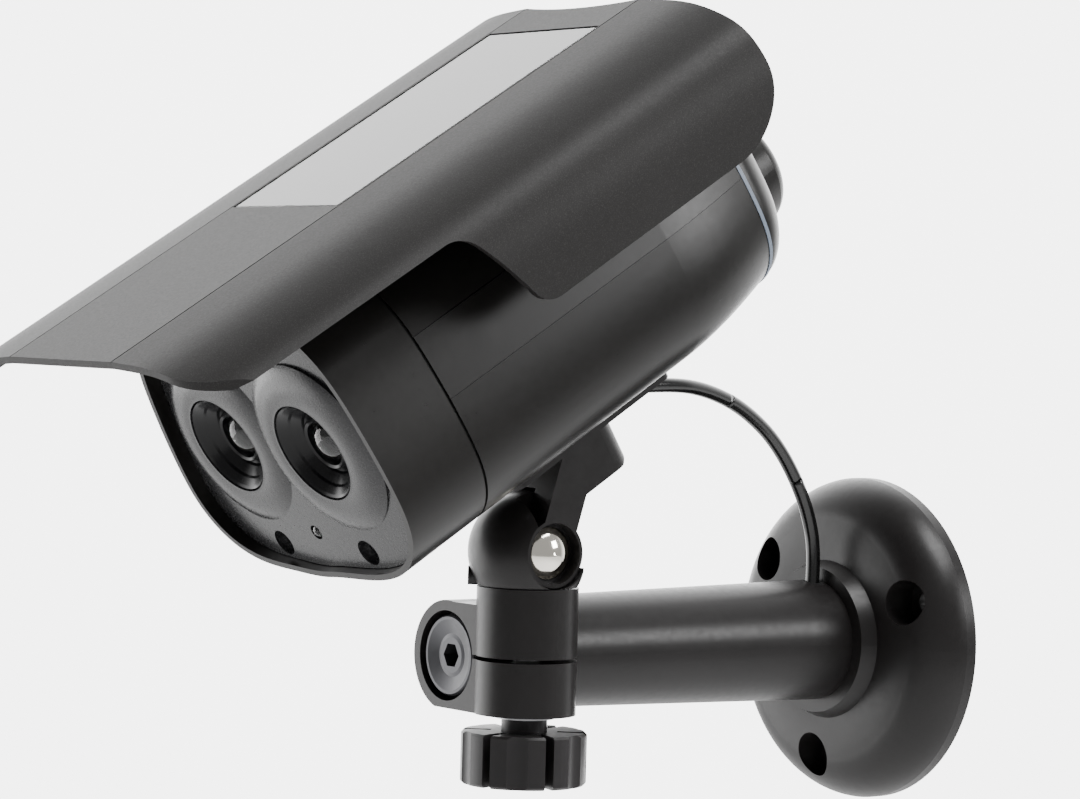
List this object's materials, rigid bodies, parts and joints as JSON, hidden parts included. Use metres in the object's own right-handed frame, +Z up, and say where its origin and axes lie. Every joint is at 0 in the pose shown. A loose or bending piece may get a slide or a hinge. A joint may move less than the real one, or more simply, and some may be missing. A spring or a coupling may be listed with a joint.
{
  "type": "security camera",
  "caption": "Wall-mounted bullet security camera with paired lenses, a solar sunshield and a clamp bracket that rolls, pans and tilts.",
  "frame": {"origin": "centre of the wall flange's back face, in the wall plane", "axes": "+Y into the wall, the arm stands out along -Y; +Z up; +X to the right for a viewer facing the wall"},
  "size_m": [0.0984, 0.2115, 0.1665],
  "materials": {
    "bracket_metal": "satin dark brown-black",
    "end_metal": "satin silver",
    "knob_plastic": "satin near-black",
    "steel": "plain",
    "chrome": "polished",
    "rubber": "matte",
    "pale_seal": "pale blue-grey",
    "cable_sheath": "glossy black",
    "body_plastic": "semi-gloss black",
    "face_plastic": "fine sparkle",
    "lens_black": "black",
    "clear_glass": "clear",
    "visor_plastic": "fine speckled charcoal",
    "solar_cells": "dark cells",
    "inner_plastic": "plain black",
    "battery_wrap": "plain blue",
    "circuit": "green board"
  },
  "bodies": {
    "bracket": {"wall_flange": "bracket_metal", "arm_tube": "bracket_metal", "arm_grommet": "rubber", "end_disc": "end_metal", "cable": "cable_sheath"},
    "clamp": {"clamp_block": "bracket_metal"},
    "washer": {"knob_washer": "steel"},
    "knob": {"clamp_knob": "knob_plastic", "knob_stud": "steel"},
    "swivel": {"swivel_ball": "bracket_metal"},
    "camera": {"camera_foot": "bracket_metal", "foot_plate": "bracket_metal", "tilt_nut": "steel", "foot_screws": "steel", "face_screws": "steel", "visor_screws": "steel", "battery_contacts": "steel", "tilt_screw": "chrome", "cable_gland": "rubber", "front_seal": "rubber", "rear_seal": "pale_seal", "lower_shell": "body_plastic", "upper_shell": "body_plastic", "front_bezel": "body_plastic", "rear_cap": "body_plastic", "rear_knob": "body_plastic", "face_panel": "face_plastic", "lens_cup_left": "lens_black", "lens_cup_right": "lens_black", "lens_ring_left": "lens_black", "lens_ring_right": "lens_black", "lens_glass_left": "clear_glass", "lens_glass_right": "clear_glass", "led_lamp": "clear_glass", "solar_glass": "clear_glass", "visor": "visor_plastic", "solar_panel": "solar_cells", "battery_box": "inner_plastic", "visor_rail": "inner_plastic", "batteries": "battery_wrap", "circuit_board": "circuit"}
  },
  "joints": [
    {"name": "roll", "type": "hinge", "parent": "bracket", "child": "clamp", "pos_m": [0, -0.1057, 0], "axis": [0, 1, 0], "range_deg": [-45, 45], "deforming": ["cable"]},
    {"name": "pan", "type": "hinge", "parent": "clamp", "child": "swivel", "pos_m": [0.0148, -0.1041, 0], "axis": [0, 0, 1], "range_deg": [-35, 35], "deforming": ["cable"]},
    {"name": "tilt", "type": "hinge", "parent": "swivel", "child": "camera", "pos_m": [0.0148, -0.1041, 0.0219], "axis": [1, 0, 0], "range_deg": [-32, 20], "deforming": ["cable"]},
    {"name": "knob_travel", "type": "slide", "parent": "clamp", "child": "washer", "axis": [0, 0, 1], "range_m": [-0.002, 0]},
    {"name": "knob_turn", "type": "hinge", "parent": "washer", "child": "knob", "pos_m": [0.0148, -0.1041, -0.019], "axis": [0, 0, 1], "range_deg": [-720, 0]}
  ],
  "couplings": [
    {"joint": "knob_turn", "follows": "knob_travel", "rad_per_m": 6283.2}
  ]
}
